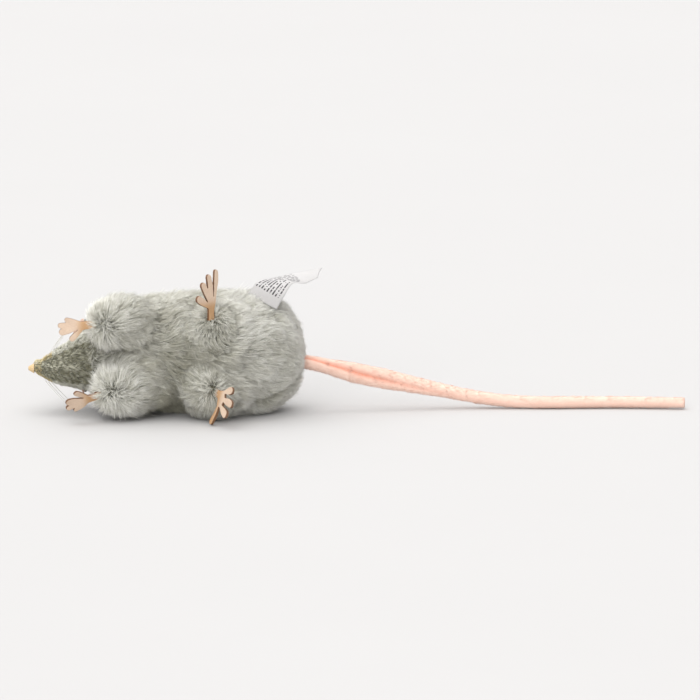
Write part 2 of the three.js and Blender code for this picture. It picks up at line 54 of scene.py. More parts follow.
# x, centre y and z, half depth, half width
TORSO = [
    (-58, 2.0, 28.5, 19.0, 20.0),
    (-48, 2.0, 30.0, 23.5, 24.5),
    (-34, 1.5, 30.6, 26.0, 28.5),
    (-14, 0.8, 30.8, 27.0, 31.2),
    (6, 0.0, 31.0, 28.0, 32.4),
    (26, 0.0, 31.0, 28.0, 32.6),
]
RUMP_LENGTH = 28.6
HEAD = [
    (-92.6, -2.2, 23.8, 1.0, 0.9),
    (-89.6, -1.9, 23.8, 3.0, 2.7),
    (-85, -1.5, 23.9, 5.8, 5.4),
    (-79, -0.7, 24.4, 9.2, 9.0),
    (-72, 0.6, 25.6, 12.4, 12.2),
    (-64, 1.8, 27.2, 14.8, 14.8),
]
NECK = np.array((-56.0, 2.0, 28.0))
NECK_BALL = 16
NOSE_CAP_X = -89.2
SIDE_SEAM_Y = -6
MIDPLANE_Z = 31
HEAD_MIDDLE_Z = 26
CHIN_SEAM_Y = -4.6
CHIN_WIDTH = 0.70  # of the head's half width, as seen from the belly
FRINGE_X = -80  # the golden fringe lies between the nose and here
RUMP_CLOSE = 86  # degrees round the rump at the last ring
SMALLEST_OVAL = 0.4
LEG_ASKEW = (0.2, 0.3, 0.93)  # a way that no leg points
TUBE_ASKEW = (0.13, 0.31, 0.94)  # a way that no tube starts
NOSE_THREADS = 14
THREAD_HEIGHT = 0.10
THREAD_SLANT = 0.8

TAIL_ROUTE = [
    (53, 2.9, 26.9), (60, 3.4, 25.8), (70, 4.2, 23.4), (80, 5.0, 20.8), (92, 6.0, 18.0),
    (104, 7.0, 15.4), (117, 7.8, 12.6), (135, 8.4, 8.9), (148, 8.4, 6.3), (162, 8.0, 4.4),
    (176, 7.2, 3.6), (190, 6.8, 3.45), (204, 7.4, 3.45), (218, 7.9, 3.45), (232, 7.6, 3.45),
    (247, 6.6, 3.45), (262, 5.4, 3.45),
]
# x, height and depth of the rolled strip, and the depth of its open fold
TAIL_SHAPE = [
    (53, 7.0, 6.6, 0.30),
    (70, 8.2, 6.8, 0.42),
    (82, 10.8, 6.8, 0.42),
    (100, 10.8, 6.8, 0.30),
    (117, 8.6, 6.8, 0.16),
    (135, 6.8, 6.6, 0.06),
    (200, 6.2, 6.2, 0.0),
    (262, 5.4, 5.6, 0.0),
]
# x, and how far round the strip its open fold lies, in degrees up from the tail's front
TAIL_FOLD_TURN = [(53, 62), (70, 30), (85, 8), (104, -4), (135, -20)]
FOLD_WIDTH = 0.30  # radians either side of the fold
# Painted shade in the fold: the deeper the groove, the more of the deeper colour.
FOLD_SHADE = 2.6  # how fast a deeper fold takes the deeper colour

LABEL_FRONT_EDGE = [
    (41.5, -13.5, 58.0), (45.6, -14.5, 65.4), (50.5, -13, 72.2), (56.7, -10, 71.6), (63.7, -7.5, 74.4),
]
LABEL_BACK_EDGE = [
    (26, -4, 64.9), (31, -4, 71.3), (39, 3, 72.2), (52, 9, 74.2), (65.9, 12, 76.2),
]
LABEL_ROOT = np.array((33, -10, 61))
LABEL_THICKNESS = 0.25
LABEL_BOW = 0.8
# The printing: shares of the ribbon's length and width, and of a row's pitch
PRINT_ROWS = 10
PRINT_START = 0.18
PRINT_END = 0.70
PRINT_MARGIN = 0.05
PRINT_BAR = 0.46
PRINT_WORDS = 34.0  # words and gaps along a full length of ribbon
PRINT_ROW_SHIFT = 7.3  # keeps one row's words from lining up with the next
PRINT_GAP_LEVEL = 0.46
WEAVE_RATE = 900.0

WHISKER_RADIUS = 0.22
WHISKER_TIP = 0.35  # of the radius
WHISKERS_PER_CHEEK = 3
WHISKER_CLEARANCE = 0.4

ANKLE_PROUD = 1.0
# centre, long and round are the egg; reach is its long axis, toes and across lie in the foot;
# whorl is where the pile radiates from, pile its length, white how pale it is
LEGS = [
    dict(name="fore_left", centre=(-43.5, -22, 52.5), long=16.5, round=12.5,
         reach=(-0.86, -0.5, 0.0), toes=(-1, -0.12, -0.02), across=(0, 0, 1),
         whorl=(-51, -32, 51.5), pile=9.4, white=0.30, curl=0.8),
    dict(name="fore_right", centre=(-39.5, -24, 17.2), long=18, round=12.5,
         reach=(-0.86, -0.48, -0.16), toes=(-0.9, -0.28, -0.36), across=(0.25, 0.55, -0.8),
         whorl=(-46.6, -36.5, 15), pile=10.6, white=0.5, curl=-0.8),
    dict(name="hind_left", centre=(8, -21, 45.2), long=15, round=13,
         reach=(-0.1, -0.55, 0.83), toes=(0.04, 0, 1), across=(0.66, 0.75, 0),
         whorl=(8, -29, 57.8), pile=6.0, white=0.12, curl=1.0),
    dict(name="hind_right", centre=(7, -26, 16), long=15, round=13,
         reach=(0.22, -0.97, 0.05), toes=(0.35, -0.93, -0.1), across=(0.3, 0, 0.95),
         whorl=(7.6, -39, 18.4), pile=8.4, white=0.16, curl=-1.0),
]

# ---- how the pile grows ----

SKIN_DEPTH = 2.5  # the sewn cloth lies this far under the CAD surface
HEAD_SKIN_DEPTH = 1.2
SKIN_CLEARANCE = 0.9  # how near the sewn cloth comes to the floor
FLOOR_CLEARANCE = 0.15  # how near the tail and the line of a strand come
STRAND_CLEARANCE = 0.05  # how near a strand's own surface comes
BODY_PILE = 9.6
FILLET = 3.0  # the pile stands this much higher where a leg meets the body
HEAD_PILE = 2.6
STRAND_RADIUS = 0.11
TORSO_STRANDS = 100000
LEG_STRANDS = 10500
HEAD_STRANDS = 20000
TAIL_FUZZ_STRANDS = 14000
EAR_FUZZ_STRANDS = 2500
STRANDS_PER_PIECE = 12000  # keeps each piece's mesh under 200,000 faces
STRAY_SHARE = 0.13  # strands that stand a little out of the pile
STRAY_LENGTH = 1.14
STRAY_LIFT = 0.30
LENGTH_SPREAD = 0.12
STRAND_TONE_SPREAD = 0.12
LOCK_TONE_SPREAD = 0.15
TUFT = (90, 0.22)  # strands in a wide loose tuft, and how far they are drawn in
LOCK = (9, 0.5)  # the same for the small locks within it
HEAD_PLANTING = dict(segments=2, radius=0.12, lock=(5, 0.4))
FUZZ_PLANTING = dict(segments=2, radius=0.07)
CREASE_REACH = 0.22  # of a form's size: how far a meeting of two forms is felt
COLLAR_X = -57.8  # where the body's pile starts, behind the neck
LOWEST_ROOT = 1.2
WHORL_REACH = 5.5  # the upright hair about a leg's whorl
LABEL_REACH = 9  # the shorter hair about the label's root
PARTING_REACH = 2.6
RIDGE_WIDTH = 1.1  # the seam along the chin, where the pile stands up pale
BODY_LIE = (1.0, 0.05, -0.05)  # the pile lies from head to rump
WHORL_LIE = (0.5, -0.2, -0.7)  # and over the bare spot at a whorl
# Partings of the pile along the belly seams: each is a line of points on the body
PARTINGS = [
    [(2, -27, 49), (14, -24, 52), (27, -20, 54), (38, -15, 54)],
    [(22, -22, 8), (36, -17, 12), (46, -11, 17), (54, -4, 22)],
]
# Places and sizes of shade in the pile: between the front legs and under the waist
HOLLOWS = [((-45, -26, 34), 8), ((-19, -17, 4), 12)]

# ---- camera, floor and light ----

CAMERA_ELEVATION = 10
CAMERA_LENS = 500
VIEW_WIDTH = 0.378  # metres across the picture, at the mouse
VIEW_CENTRE = Vector((0.081, 0.0, 0.0334))
CAMERA_REACH = 2000  # metres
FLOOR_HALF = 400  # metres, so that a low view sees its edge close to the horizon
WORLD_COLOUR = (0.985, 0.99, 1.0, 1)
WORLD_STRENGTH = 0.52
# name, direction, strength, the angle it fills in degrees, colour
SUNS = [
    ("overhead", (0.12, 0.12, -1), 2.3, 80, (1, 0.99, 0.97)),
    ("rim", (0.1, -0.8, -1), 1.3, 70, (1, 1, 1)),
    ("front", (0.25, 1, -0.4), 1.7, 45, (1, 1, 1)),
]


def placed(name, data):
    """A new object in the scene."""
    made = bpy.data.objects.new(name, data)
    bpy.context.scene.collection.objects.link(made)
    return made


def make_camera():
    data = bpy.data.cameras.new("camera")
    data.lens = CAMERA_LENS
    data.clip_end = CAMERA_REACH
    camera = placed("camera", data)
    half_angle = math.atan(data.sensor_width / 2 / data.lens)
    distance = VIEW_WIDTH / 2 / math.tan(half_angle)
    tilt = math.radians(CAMERA_ELEVATION)
    back = Vector((0, -math.cos(tilt), math.sin(tilt)))
    camera.location = VIEW_CENTRE + back * distance
    camera.rotation_euler = (-back).to_track_quat("-Z", "Y").to_euler()
    bpy.context.scene.camera = camera


def make_floor():
    low, high = -FLOOR_HALF, FLOOR_HALF
    corners = [(low, low, 0), (high, low, 0), (high, high, 0), (low, high, 0)]
    floor = make_mesh("floor", corners, [(0, 1, 2, 3)], floor_material())


def sun(name, direction, strength, spread, colour):
    """A soft box far away: spread is the angle it fills, in degrees."""
    data = bpy.data.lights.new(name, "SUN")
    data.energy = strength
    data.angle = math.radians(spread)
    data.color = colour
    light = placed(name, data)
    light.rotation_euler = Vector(direction).to_track_quat("-Z", "Y").to_euler()


def light_scene():
    world = bpy.data.worlds.new("studio")
    world.use_nodes = True
    background = world.node_tree.nodes["Background"]
    background.inputs["Color"].default_value = WORLD_COLOUR
    background.inputs["Strength"].default_value = WORLD_STRENGTH
    bpy.context.scene.world = world
    for name, direction, strength, spread, colour in SUNS:
        sun(name, direction, strength, spread, colour)
    bpy.context.scene.view_settings.view_transform = "Standard"


# ---- materials ----


def new_material(name, roughness=0.8, specular=0.3):
    material = bpy.data.materials.new(name)
    material.use_nodes = True
    shader = material.node_tree.nodes["Principled BSDF"]
    shader.inputs["Roughness"].default_value = roughness
    shader.inputs["Specular IOR Level"].default_value = specular
    return material, material.node_tree, shader


def node(tree, kind, **values):
    """A node with its properties and its unlinked inputs set by name."""
    made = tree.nodes.new(kind)
    for key, value in values.items():
        if hasattr(made, key):
            setattr(made, key, value)
        else:
            made.inputs[key.replace("_", " ")].default_value = value
    return made


def ramp(tree, factor, stops):
    """A colour ramp of (position, colour) stops driven by a socket."""
    made = tree.nodes.new("ShaderNodeValToRGB")
    elements = made.color_ramp.elements
    while len(elements) < len(stops):
        elements.new(0.5)
    for element, (position, colour) in zip(elements, stops):
        element.position = position
        element.color = (*colour, 1)
    tree.links.new(factor, made.inputs["Fac"])
    return made.outputs["Color"]


def mix(tree, factor, a, b, blend="MIX"):
    """Mixes two colours; each of the three arguments is a socket or a plain value."""
    made = tree.nodes.new("ShaderNodeMix")
    made.data_type = "RGBA"
    made.blend_type = blend
    factor_socket, a_socket, b_socket = (made.inputs[k] for k in (0, 6, 7))
    for socket, value in ((factor_socket, factor), (a_socket, a), (b_socket, b)):
        if isinstance(value, bpy.types.NodeSocket):
            tree.links.new(value, socket)
        elif isinstance(value, (int, float)):
            socket.default_value = value
        else:
            socket.default_value = (*value, 1)
    colour_socket = made.outputs[2]
    return colour_socket


def noise(tree, scale, detail=4, roughness=0.6):
    """Noise in object space; scale is in features per metre."""
    place = tree.nodes.new("ShaderNodeTexCoord")
    made = node(tree, "ShaderNodeTexNoise", Scale=scale, Detail=detail, Roughness=roughness)
    tree.links.new(place.outputs["Object"], made.inputs["Vector"])
    return made.outputs["Fac"]


def bump(tree, shader, height, distance):
    """Relief from a socket of heights; distance is in metres."""
    made = node(tree, "ShaderNodeBump", Distance=distance)
    made.inputs["Strength"].default_value = 1.0
    tree.links.new(height, made.inputs["Height"])
    tree.links.new(made.outputs["Normal"], shader.inputs["Normal"])


def mottled(name, roughness, specular, scale, dark, light, detail=4):
    """A material whose colour wanders between two; scale is that of noise()."""
    material, tree, shader = new_material(name, roughness, specular)
    tree.links.new(mix(tree, noise(tree, scale, detail), dark, light), shader.inputs["Base Color"])
    return material, tree, shader


def floor_material():
    return mottled("floor_paper", 0.9, 0.1, 3.0, (0.51, 0.502, 0.50), (0.525, 0.518, 0.516))[0]


def fur_material(name, dark_root, dark_tip, light_root, light_tip):
    """Pile that goes from the dark to the light hair by its tone, and from root to tip; the darkening
    towards the root is painted shade deep in the pile.
    """
    material, tree, shader = new_material(name, 0.72, 0.25)
    shader.inputs["Sheen Weight"].default_value = 0.3
    tone, height = uv_axes(tree, BAKE_UV)
    dark = ramp(tree, height, [(0.05, dark_root), (0.95, dark_tip)])
    light = ramp(tree, height, [(0.05, light_root), (0.9, light_tip)])
    tree.links.new(mix(tree, tone, dark, light), shader.inputs["Base Color"])
    return material


def cloth_material(name, dark, light):
    """The knitted backing cloth under the pile; its dark colour is partly the cloth's own and partly
    painted shade deep in the pile.
    """
    material, tree, shader = mottled(name, 0.9, 0.1, 900, dark, light, detail=3)
    bump(tree, shader, noise(tree, 2500, 2), 0.0002)
    return material


def attribute(tree, name):
    """The number that mark() stored on each vertex under this name."""
    return node(tree, "ShaderNodeAttribute", attribute_name=name).outputs["Fac"]


def uv_axes(tree, name):
    """The two coordinates of a UV map."""
    uv = node(tree, "ShaderNodeUVMap", uv_map=name)
    parts = tree.nodes.new("ShaderNodeSeparateXYZ")
    tree.links.new(uv.outputs["UV"], parts.inputs[0])
    return parts.outputs["X"], parts.outputs["Y"]


def suede_material(name, nap, shade, edge, root):
    """Suede with a mottled nap; the attributes "edge" and "root" mark cut edges and the sewn end."""
    material, tree, shader = new_material(name, 0.88, 0.15)
    fine = noise(tree, 2600, 5, 0.7)
    grain = ramp(tree, fine, [(0.35, (0.82, 0.80, 0.78)), (0.65, (1, 1, 1))])
    face = mix(tree, 1.0, mix(tree, noise(tree, 260, 3), shade, nap), grain, "MULTIPLY")
    face = mix(tree, attribute(tree, "root"), face, root)
    colour = mix(tree, attribute(tree, "edge"), face, edge)
    tree.links.new(colour, shader.inputs["Base Color"])
    bump(tree, shader, fine, 0.00012)
    return material


def velour_material():
    """Salmon velour, paler along its crowns; the deeper colour where the strip is folded in is painted
    shade.
    """
    material, tree, shader = new_material("tail_velour", 0.85, 0.15)
    shader.inputs["Sheen Weight"].default_value = 0.35
    shader.inputs["Sheen Roughness"].default_value = 0.5
    face = mix(tree, noise(tree, 700, 5, 0.75), (0.84, 0.56, 0.46), (0.87, 0.65, 0.54))
    colour = mix(tree, attribute(tree, "fold"), face, (0.84, 0.36, 0.25))
    tree.links.new(colour, shader.inputs["Base Color"])
    bump(tree, shader, noise(tree, 3800, 3, 0.8), 0.00018)
    return material


def bead_material():
    """Black moulded plastic with a high polish."""
    return mottled("eye_bead", 0.06, 0.6, 150, (0.006, 0.005, 0.004), (0.014, 0.010, 0.008))[0]


def plastic_material():
    """Milky moulded plastic, hidden behind the cloth."""
    return mottled("washer_plastic", 0.45, 0.4, 300, (0.70, 0.70, 0.68), (0.78, 0.78, 0.76))[0]


def whisker_material():
    """Clear nylon thread, pale and shiny."""
    material, _, shader = mottled("whisker_thread", 0.25, 0.5, 500, (0.72, 0.70, 0.64), (0.82, 0.81, 0.77))
    shader.inputs["Alpha"].default_value = 0.75
    return material


def thread_material():
    """Glossy embroidery thread laid side by side over the nose."""
    material, tree, shader = mottled("nose_thread", 0.5, 0.35, 900, (0.54, 0.37, 0.18),
                                     (0.70, 0.53, 0.31), detail=3)
    bump(tree, shader, noise(tree, 3200, 2), 0.0001)
    return material


def math_node(tree, operation, *values):
    """One math node over sockets or plain numbers."""
    made = tree.nodes.new("ShaderNodeMath")
    made.operation = operation
    for socket, value in zip(made.inputs, values):
        if isinstance(value, bpy.types.NodeSocket):
            tree.links.new(value, socket)
        else:
            socket.default_value = value
    return made.outputs[0]


def print_mask(tree, across, along):
    """1 on the printing: rows of plain bars that stand for the words."""
    row_place = math_node(tree, "MULTIPLY", across, PRINT_ROWS)
    row = math_node(tree, "FLOOR", row_place)
    in_row = math_node(tree, "LESS_THAN", math_node(tree, "FRACT", row_place), PRINT_BAR)
    point = tree.nodes.new("ShaderNodeCombineXYZ")
    tree.links.new(math_node(tree, "MULTIPLY", along, PRINT_WORDS), point.inputs["X"])
    tree.links.new(math_node(tree, "MULTIPLY", row, PRINT_ROW_SHIFT), point.inputs["Y"])
    words = node(tree, "ShaderNodeTexNoise", Scale=1.0, Detail=1.0)
    tree.links.new(point.outputs[0], words.inputs["Vector"])
    in_word = math_node(tree, "GREATER_THAN", words.outputs["Fac"], PRINT_GAP_LEVEL)
    started = math_node(tree, "GREATER_THAN", along, PRINT_START)
    ended = math_node(tree, "LESS_THAN", along, PRINT_END)
    low = math_node(tree, "GREATER_THAN", across, PRINT_MARGIN)
    high = math_node(tree, "LESS_THAN", across, 1 - PRINT_MARGIN)
    mask = in_row
    for part in (in_word, started, ended, low, high):
        mask = math_node(tree, "MULTIPLY", mask, part)
    return mask


def ribbon_material():
    """White satin ribbon: a fine weave, the printing, and a whiter reverse; the greyer cloth on the front
    side is painted shade.
    """
    material, tree, shader = new_material("label_ribbon", 0.55, 0.3)
    across, along = uv_axes(tree, LABEL_UV)
    ink = print_mask(tree, across, along)
    # Painted shade: the front side's cloth is greyer than the reverse.
    shaded_front = mix(tree, noise(tree, 700, 3), (0.54, 0.522, 0.518), (0.61, 0.598, 0.594))
    cloth = mix(tree, attribute(tree, "reverse"), shaded_front, (0.74, 0.735, 0.735))
    tree.links.new(mix(tree, ink, cloth, (0.06, 0.055, 0.06)), shader.inputs["Base Color"])
    weave = math_node(tree, "SINE", math_node(tree, "MULTIPLY", along, WEAVE_RATE))
    bump(tree, shader, weave, 0.00004)
    return material


# ---- curves, lofts and meshes ----


def smooth_path(points, count):
    """count + 1 points along a centripetal Catmull-Rom curve, the CAD's kind of curve."""
    known = np.array(points, float)
    known = np.vstack([2 * known[0] - known[1], known, 2 * known[-1] - known[-2]])
    result = []
    for step in np.linspace(0, len(points) - 1, count + 1):
        i = min(int(step), len(points) - 2)
        t = step - i
        a, b, c, d = known[i : i + 4]
        gaps = [max(np.linalg.norm(q - p) ** 0.5, 1e-6) for p, q in ((a, b), (b, c), (c, d))]
        start = ((b - a) / gaps[0] - (c - a) / (gaps[0] + gaps[1]) + (c - b) / gaps[1]) * gaps[1]
        end = ((c - b) / gaps[1] - (d - b) / (gaps[1] + gaps[2]) + (d - c) / gaps[2]) * gaps[1]
        result.append(
            (2 * t**3 - 3 * t**2 + 1) * b + (t**3 - 2 * t**2 + t) * start
            + (3 * t**2 - 2 * t**3) * c + (t**3 - t**2) * end
        )
    return np.array(result)


def oval_rings(sections, around):
    """Rings square to X; angle 0 is at the belly (-Y), a quarter turn is the left side (+Z)."""
    angle = np.linspace(0, 2 * np.pi, around, endpoint=False)
    x, y, z, depth, width = (np.array(sections, float)[:, k, None] for k in range(5))
    ones = np.ones_like(angle)[None]
    return np.stack([x * ones, y - depth * np.cos(angle), z + width * np.sin(angle)], axis=2)


def loft(rings):
    """Vertices and triangles of a closed skin over rings, with a hub in each end."""
    rows, around = rings.shape[:2]
    points = np.vstack([rings.reshape(-1, 3), rings[0].mean(0), rings[-1].mean(0)])
    faces = []
    for row in range(rows - 1):
        for i in range(around):
            j = (i + 1) % around
            a, b = row * around, (row + 1) * around
            faces += [(a + i, b + j, a + j), (a + i, b + i, b + j)]
    last = (rows - 1) * around
    for i in range(around):
        j = (i + 1) % around
        faces += [(i, j, rows * around), (last + j, last + i, rows * around + 1)]
    return points, np.array(faces)


def normals_of(points, faces):
    """Unit vertex normals, pointing out of a closed mesh."""
    a, b, c = (points[faces[:, k]] for k in range(3))
    square = np.cross(b - a, c - a)
    if (a * square).sum() < 0:
        square = -square
    total = np.zeros_like(points)
    for k in range(3):
        np.add.at(total, faces[:, k], square)
    return unit(total)


def unit(vectors):
    return vectors / np.maximum(np.linalg.norm(vectors, axis=-1, keepdims=True), 1e-9)


def make_mesh(name, points, faces, material):
    """A mesh object from points in metres."""
    mesh = bpy.data.meshes.new(name)
    mesh.from_pydata([tuple(p) for p in points], [], [tuple(int(i) for i in f) for f in faces])
    mesh.validate()
    mesh.polygons.foreach_set("use_smooth", [True] * len(mesh.polygons))
    mesh.materials.append(material)
    return placed(name, mesh)


def outward(points, faces):
    """The same triangles, turned so that a closed mesh has its faces pointing out."""
    a, b, c = (points[faces[:, k]] for k in range(3))
    return faces if (a * np.cross(b - a, c - a)).sum() > 0 else faces[:, ::-1]


def tube(path, radii, sides=8):
    """Vertices and triangles of a closed round tube along a path."""
    path = np.asarray(path, float)
    tangent = unit(np.gradient(path, axis=0))
    normal = unit(np.cross(tangent[0], TUBE_ASKEW))
    rings = []
    for place, along, radius in zip(path, tangent, radii):
        normal = unit(normal - along * (normal @ along))
        other = np.cross(along, normal)
        turn = np.linspace(0, 2 * np.pi, sides, endpoint=False)[:, None]
        rings.append(place + radius * (np.cos(turn) * normal + np.sin(turn) * other))
    points, faces = loft(np.array(rings))
    return points, outward(points, faces)


# ---- body forms ----


def oval_table(table, inset, steps):
    """Sections along a table's smooth curve: x, centre y and z, half depth, half width."""
    table = np.array(table, float)
    centres = smooth_path(table[:, [0, 1, 2]], steps)
    sizes = smooth_path(table[:, [0, 3, 4]], steps)
    return [(c[0], c[1], c[2], s[1] - inset, s[2] - inset) for c, s in zip(centres, sizes)]


def torso_sections(inset, steps=24, rump_rings=14):
    rows = oval_table(TORSO, inset, steps)
    x, y, z, depth, width = TORSO[-1]
    for angle in np.linspace(0, math.radians(RUMP_CLOSE), rump_rings + 1)[1:]:
        rows.append((x + (RUMP_LENGTH - inset) * math.sin(angle), y, z,
                     (depth - inset) * math.cos(angle), (width - inset) * math.cos(angle)))
    return rows


def torso_form(inset):
    points, faces = loft(oval_rings(torso_sections(inset), 72))
    points[:, 2] = np.maximum(points[:, 2], SKIN_CLEARANCE)
    return points, outward(points, faces)


def head_sections(inset, steps=24):
    """The cone of the head, and behind it the ball that turns in the neck."""
    rows = [row for row in oval_table(HEAD, inset, steps) if min(row[3], row[4]) > SMALLEST_OVAL]
    for angle in np.radians([-10, 5, 20, 35, 50]):
        ball = (NECK_BALL - inset) * math.cos(angle)
        rows.append((NECK[0] + (NECK_BALL - inset) * math.sin(angle), NECK[1], NECK[2], ball, ball))
    return rows


def head_form(inset):
    points, faces = loft(oval_rings(head_sections(inset), 48))
    return points, outward(points, faces)


def leg_frame(leg):
    """The centre of a leg's egg and the way its long axis points."""
    reach = unit(np.array(leg["reach"], float))
    return np.array(leg["centre"], float), reach


def leg_form(leg, inset, rows=20, around=32):
    centre, reach = leg_frame(leg)
    side = unit(np.cross(reach, LEG_ASKEW))
    other = np.cross(reach, side)
    turn = np.linspace(0, 2 * np.pi, around, endpoint=False)[:, None]
    rings = []
    for angle in np.linspace(-np.pi / 2, np.pi / 2, rows)[1:-1]:
        radius = (leg["round"] - inset) * math.cos(angle)
        place = centre + reach * (leg["long"] - inset) * math.sin(angle)
        rings.append(place + radius * (np.cos(turn) * side + np.sin(turn) * other))
    points, faces = loft(np.array(rings))
    points[:, 2] = np.maximum(points[:, 2], SKIN_CLEARANCE)
    return points, outward(points, faces)


def ankle(leg):
    centre, reach = leg_frame(leg)
    return centre + reach * (leg["long"] + ANKLE_PROUD)


def leg_level(points, leg, inset=0):
    """Below 1 inside a leg's egg, 1 on it, and rising outside it."""
    centre, reach = leg_frame(leg)
    offset = points - centre
    along = offset @ reach
    aside = np.linalg.norm(offset - along[:, None] * reach, axis=1)
    return np.hypot(along / (leg["long"] - inset), aside / (leg["round"] - inset))


def section_level(points, sections, inset=0):
    """The same for a form given by its oval sections."""
    rows = np.array(sections)
    rows = rows[np.argsort(rows[:, 0])]
    x = points[:, 0]
    y, z, depth, width = (np.interp(x, rows[:, 0], rows[:, k]) for k in (1, 2, 3, 4))
    depth, width = np.maximum(depth - inset, 0.1), np.maximum(width - inset, 0.1)
    level = np.hypot((points[:, 1] - y) / depth, (points[:, 2] - z) / width)
    return np.where((x > rows[0, 0]) & (x < rows[-1, 0]), level, 9.0)


def crease(level):
    """1 where one form's surface meets another's, fading out as they part."""
    return np.exp(-((np.maximum(level - 1, 0) / CREASE_REACH) ** 2))


# ---- fur ----


def ease(x, low, high):
    """0 below low, 1 above high, smooth between."""
    t = np.clip((x - low) / (high - low), 0, 1)
    return t * t * (3 - 2 * t)


def waves(points, wavelength, seed):
    """Smooth noise, mostly in -1 to 1, with roughly this wavelength in millimetres."""
    random = np.random.default_rng(seed)
    total = np.zeros(len(points))
    for _ in range(6):
        direction = unit(random.normal(size=3)) * random.uniform(0.7, 1.4)
        total += np.sin(points @ direction * (2 * np.pi / wavelength) + random.uniform(0, 6.3))
    return total / 2.6


def scatter(points, faces, count, random):
    """count places spread evenly over a mesh, with their normals."""
    a, b, c = (points[faces[:, k]] for k in range(3))
    area = np.linalg.norm(np.cross(b - a, c - a), axis=1)
    chosen = random.choice(len(faces), count, p=area / area.sum())
    u, v = random.random((2, count, 1))
    flip = u + v > 1
    u, v = np.where(flip, 1 - u, u), np.where(flip, 1 - v, v)
    normals = normals_of(points, faces)
    na, nb, nc = (normals[faces[chosen, k]] for k in range(3))
    place = a[chosen] * (1 - u - v) + b[chosen] * u + c[chosen] * v
    return place, unit(na * (1 - u - v) + nb * u + nc * v)


def near(places, centre, size):
    """1 at a point, falling to 0 a few sizes away from it."""
    return np.exp(-((np.linalg.norm(places - np.array(centre), axis=1) / size) ** 2))


def combed(direction, normals):
    """A direction laid onto the surface."""
    flat = direction - (direction * normals).sum(1, keepdims=True) * normals
    return unit(flat)


def gather(paths, roots, bunch, random):
    """Draws strands to leading ones, more towards the tip; bunch is (strands to a leader, pull)."""
    size, pull = bunch
    leaders = random.choice(len(roots), max(1, len(roots) // size), replace=False)
    tree = KDTree(len(leaders))
    for k, leader in enumerate(leaders):
        tree.insert(roots[leader], k)
    tree.balance()
    nearest = leaders[[tree.find(root)[1] for root in roots]]
    height = np.linspace(0, 1, paths.shape[1])[None, :, None]
    strength = pull * random.uniform(0.6, 1.0, (len(roots), 1, 1)) * height**1.3
    return paths + strength * (paths[nearest] - paths), nearest


def spike_faces(rings):
    """Triangles of one closed three-sided spike: its foot, its sides and its tip."""
    tip = rings * 3
    faces = [(0, 2, 1)]
    for ring in range(rings - 1):
        for k in range(3):
            a, b = ring * 3 + k, ring * 3 + (k + 1) % 3
            faces += [(a, b, b + 3), (a, b + 3, a + 3)]
    for k in range(3):
        faces.append((tip - 3 + k, tip - 3 + (k + 1) % 3, tip))
    return np.array(faces)


def spike_points(paths, radii):
    """Vertices of a spike along each path, three to a ring and one at the tip."""
    count, knots = paths.shape[:2]
    rings = knots - 1
    along = unit(np.diff(paths, axis=1))
    facing = unit(np.random.default_rng(SEED).normal(size=(count, 1, 3)))
    side = unit(np.cross(along, facing))
    other = np.cross(along, side)
    height = np.linspace(0, 1, knots)[:rings]
    swell = radii[:, None] * np.interp(height, (0, 0.35, 1), (0.8, 1.0, 0.3))
    corners = []
    for turn in np.radians((0, 120, 240)):
        spoke = math.cos(turn) * side + math.sin(turn) * other
        corners.append(paths[:, :rings] + spoke * swell[:, :, None])
    body = np.stack(corners, axis=2).reshape(count, rings * 3, 3)
    points = np.concatenate([body, paths[:, -1:]], axis=1)
    points[:, :, 2] = np.maximum(points[:, :, 2], STRAND_CLEARANCE)
    return points


def strand_mesh(name, paths, radii, tones, material):
    """One mesh of closed three-sided spikes, one for each path of points in millimetres."""
    count, knots = paths.shape[:2]
    rings = knots - 1
    points = spike_points(paths, radii)
    per = points.shape[1]
    faces = (spike_faces(rings)[None] + per * np.arange(count)[:, None, None]).reshape(-1, 3)
    heights = np.append(np.repeat(np.linspace(0, 1, knots)[:rings], 3), 1.0)
    uv = np.empty((count, per, 2))
    uv[:, :, 0] = tones[:, None]
    uv[:, :, 1] = heights[None] * 0.96 + 0.02

    mesh = bpy.data.meshes.new(name)
    mesh.vertices.add(count * per)
    mesh.vertices.foreach_set("co", (points * MM).ravel())
    mesh.loops.add(faces.size)
    mesh.loops.foreach_set("vertex_index", faces.ravel().astype(np.int32))
    mesh.polygons.add(len(faces))
    mesh.polygons.foreach_set("loop_start", np.arange(0, faces.size, 3, dtype=np.int32))
    mesh.polygons.foreach_set("use_smooth", np.ones(len(faces), bool))
    layer = mesh.uv_layers.new(name=BAKE_UV)
    layer.data.foreach_set("uv", uv.reshape(-1, 2)[faces.ravel()].astype(np.float32).ravel())
    mesh.materials.append(material)
    mesh.update(calc_edges=True)
    return placed(name, mesh)


def grow(places, normals, comb, pile, lift, random, segments):
    """Paths of strands that leave the skin at a lift from it and bend down along the comb."""
    lift = lift[:, None]
    rise = unit(comb * (1 - lift) + normals * lift * 1.6)
    settle = unit(comb + normals * lift * 0.45)
    jitter = random.normal(scale=0.13, size=places.shape)
    rise, settle = unit(rise + jitter), unit(settle + jitter * 1.2)
    height = np.linspace(0, 1, segments + 1)[None, :, None]
    reach = pile[:, None, None]
    return places[:, None] + reach * (
        rise[:, None] * (height - height**2 / 2) + settle[:, None] * height**2 / 2
    )


